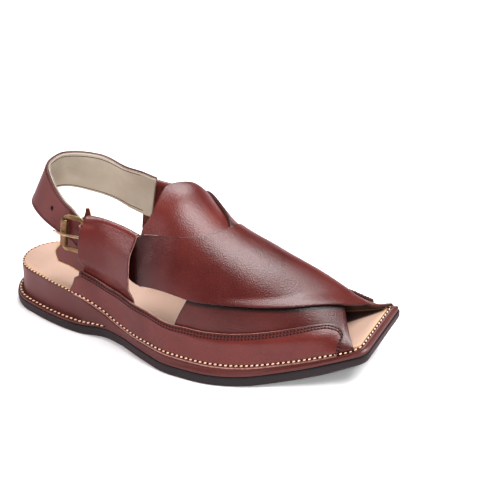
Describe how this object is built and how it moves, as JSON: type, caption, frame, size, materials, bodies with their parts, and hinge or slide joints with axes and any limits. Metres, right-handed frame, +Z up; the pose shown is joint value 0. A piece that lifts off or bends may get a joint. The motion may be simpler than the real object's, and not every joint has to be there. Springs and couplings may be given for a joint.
{
  "type": "peshawari chappal",
  "caption": "Leather sandal for a right foot with crossed front bands, a rounded tongue, side panels, a buckled heel strap and a thick rubber sole with a raised toe.",
  "frame": {"origin": "middle of the shoe's footprint, on the floor plane it stands on", "axes": "+X from heel to toe, +Y towards the medial side of the right foot, +Z up"},
  "size_m": [0.2884, 0.106, 0.1181],
  "materials": {
    "sole_rubber": "matt",
    "red_brown_leather": "satin",
    "tan_leather": "matt",
    "aged_brass": "aged satin"
  },
  "bodies": {
    "root": {"outsole": "sole_rubber", "rand": "red_brown_leather", "insole": "tan_leather", "upper": "red_brown_leather", "tongue": "red_brown_leather", "side_panel_lateral": "red_brown_leather", "side_panel_medial": "red_brown_leather", "loop_lateral": "red_brown_leather", "loop_medial": "red_brown_leather", "heel_strap": "red_brown_leather", "buckle_chape": "red_brown_leather", "buckle_underlay": "tan_leather", "buckle_frame": "aged_brass", "buckle_roller": "aged_brass", "buckle_prong": "aged_brass"}
  },
  "joints": []
}
